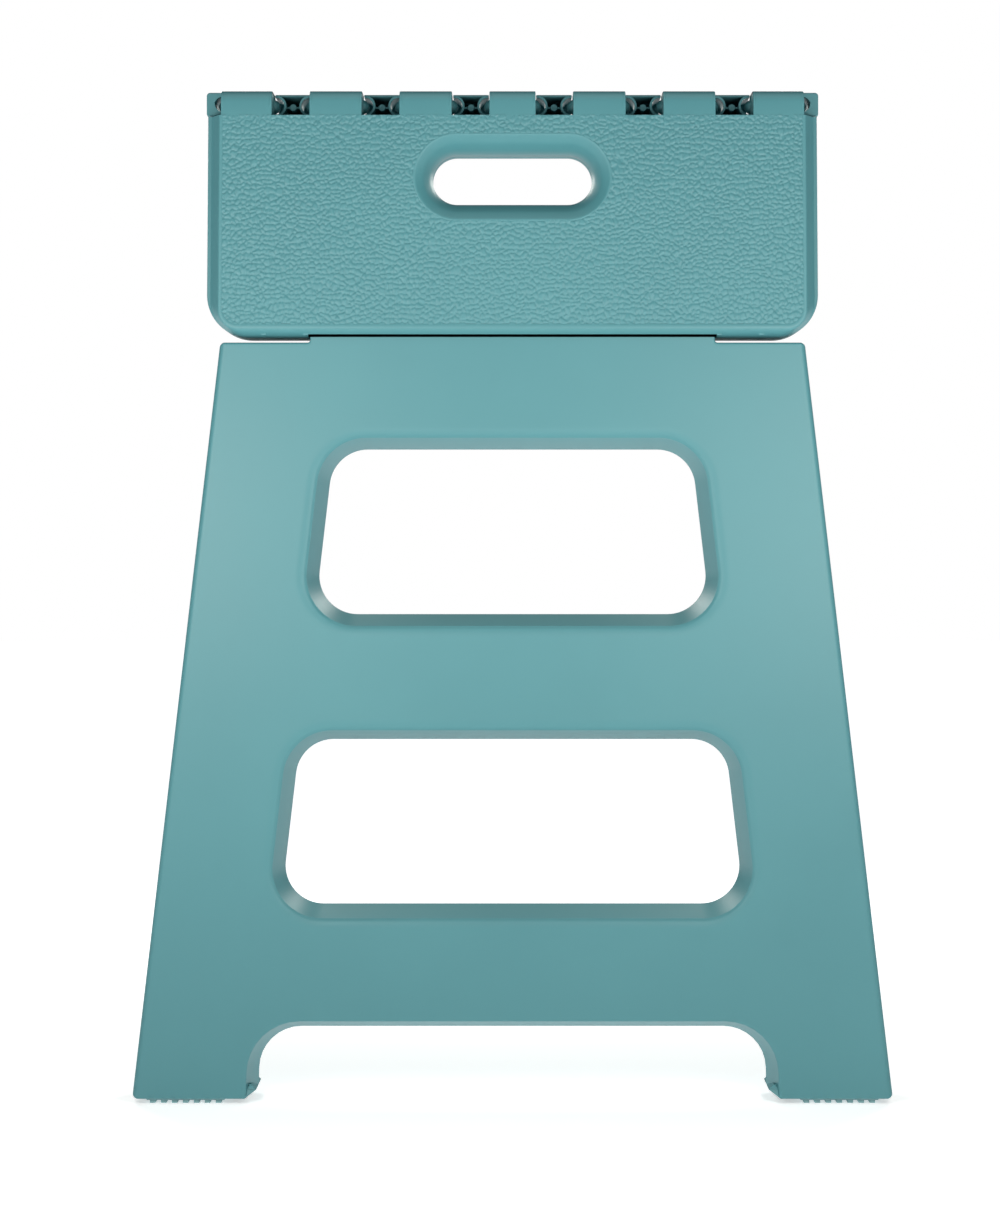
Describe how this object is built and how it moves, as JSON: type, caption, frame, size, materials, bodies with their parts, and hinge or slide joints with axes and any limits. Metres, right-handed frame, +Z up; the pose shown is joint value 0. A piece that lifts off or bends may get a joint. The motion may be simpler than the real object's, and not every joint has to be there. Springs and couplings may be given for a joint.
{
  "type": "folding step stool",
  "caption": "Folding moulded plastic step stool, stored flat: hinged seat halves with a hand slot, two leg panels, inward-folding side panels and ribbed foot pads.",
  "frame": {"origin": "on the floor under the middle of the folded stool, on the plane where its front and back halves meet", "axes": "+Z up, +X to the right of someone facing the front leg, +Y from the front leg to the back leg"},
  "size_m": [0.3596, 0.04, 0.4792],
  "materials": {
    "leg_plastic": "satin moulded polypropylene, fine matt texture",
    "seat_plastic": "satin moulded polypropylene with a pebbled field",
    "pad_rubber": "matt soft rubber",
    "pin_steel": "drawn steel wire"
  },
  "bodies": {
    "front_leg": {"front_leg": "leg_plastic", "front_left_pad": "pad_rubber", "front_right_pad": "pad_rubber", "left_front_rod": "pin_steel", "right_front_rod": "pin_steel"},
    "front_seat": {"front_seat": "seat_plastic", "front_seat_rod": "pin_steel"},
    "back_seat": {"back_seat": "seat_plastic", "back_seat_rod": "pin_steel"},
    "back_leg": {"back_leg": "leg_plastic", "back_left_pad": "pad_rubber", "back_right_pad": "pad_rubber", "left_back_rod": "pin_steel", "right_back_rod": "pin_steel"},
    "left_front_side": {"left_front_side": "leg_plastic", "left_lower_pin": "pin_steel", "left_middle_pin": "pin_steel", "left_upper_pin": "pin_steel"},
    "right_front_side": {"right_front_side": "leg_plastic", "right_lower_pin": "pin_steel", "right_middle_pin": "pin_steel", "right_upper_pin": "pin_steel"},
    "left_back_side": {"left_back_side": "leg_plastic"},
    "right_back_side": {"right_back_side": "leg_plastic"}
  },
  "joints": [
    {"name": "fold", "type": "hinge", "parent": "front_leg", "child": "front_seat", "pos_m": [0, -0.008, 0.3766], "axis": [-1, 0, 0], "range_deg": [0, 90]},
    {"name": "seat_centre", "type": "hinge", "parent": "front_seat", "child": "back_seat", "pos_m": [0, 0, 0.4736], "axis": [1, 0, 0], "range_deg": [0, 180]},
    {"name": "back_leg_swing", "type": "hinge", "parent": "back_seat", "child": "back_leg", "pos_m": [0, 0.008, 0.3766], "axis": [-1, 0, 0], "range_deg": [0, 90]},
    {"name": "left_front_side_swing", "type": "hinge", "parent": "front_leg", "child": "left_front_side", "pos_m": [-0.17235, -0.008, 0], "axis": [0.1159, 0, 0.9933], "range_deg": [0, 90]},
    {"name": "right_front_side_swing", "type": "hinge", "parent": "front_leg", "child": "right_front_side", "pos_m": [0.17235, -0.008, 0], "axis": [0.1159, 0, -0.9933], "range_deg": [0, 90]},
    {"name": "left_back_side_swing", "type": "hinge", "parent": "back_leg", "child": "left_back_side", "pos_m": [-0.17235, 0.008, 0], "axis": [-0.1159, 0, -0.9933], "range_deg": [0, 90]},
    {"name": "right_back_side_swing", "type": "hinge", "parent": "back_leg", "child": "right_back_side", "pos_m": [0.17235, 0.008, 0], "axis": [-0.1159, 0, 0.9933], "range_deg": [0, 90]}
  ],
  "couplings": [
    {"joint": "seat_centre", "follows": "fold", "ratio": 2},
    {"joint": "back_leg_swing", "follows": "fold", "ratio": 1},
    {"joint": "left_front_side_swing", "follows": "fold", "ratio": 1},
    {"joint": "right_front_side_swing", "follows": "fold", "ratio": 1},
    {"joint": "left_back_side_swing", "follows": "fold", "ratio": 1},
    {"joint": "right_back_side_swing", "follows": "fold", "ratio": 1}
  ]
}
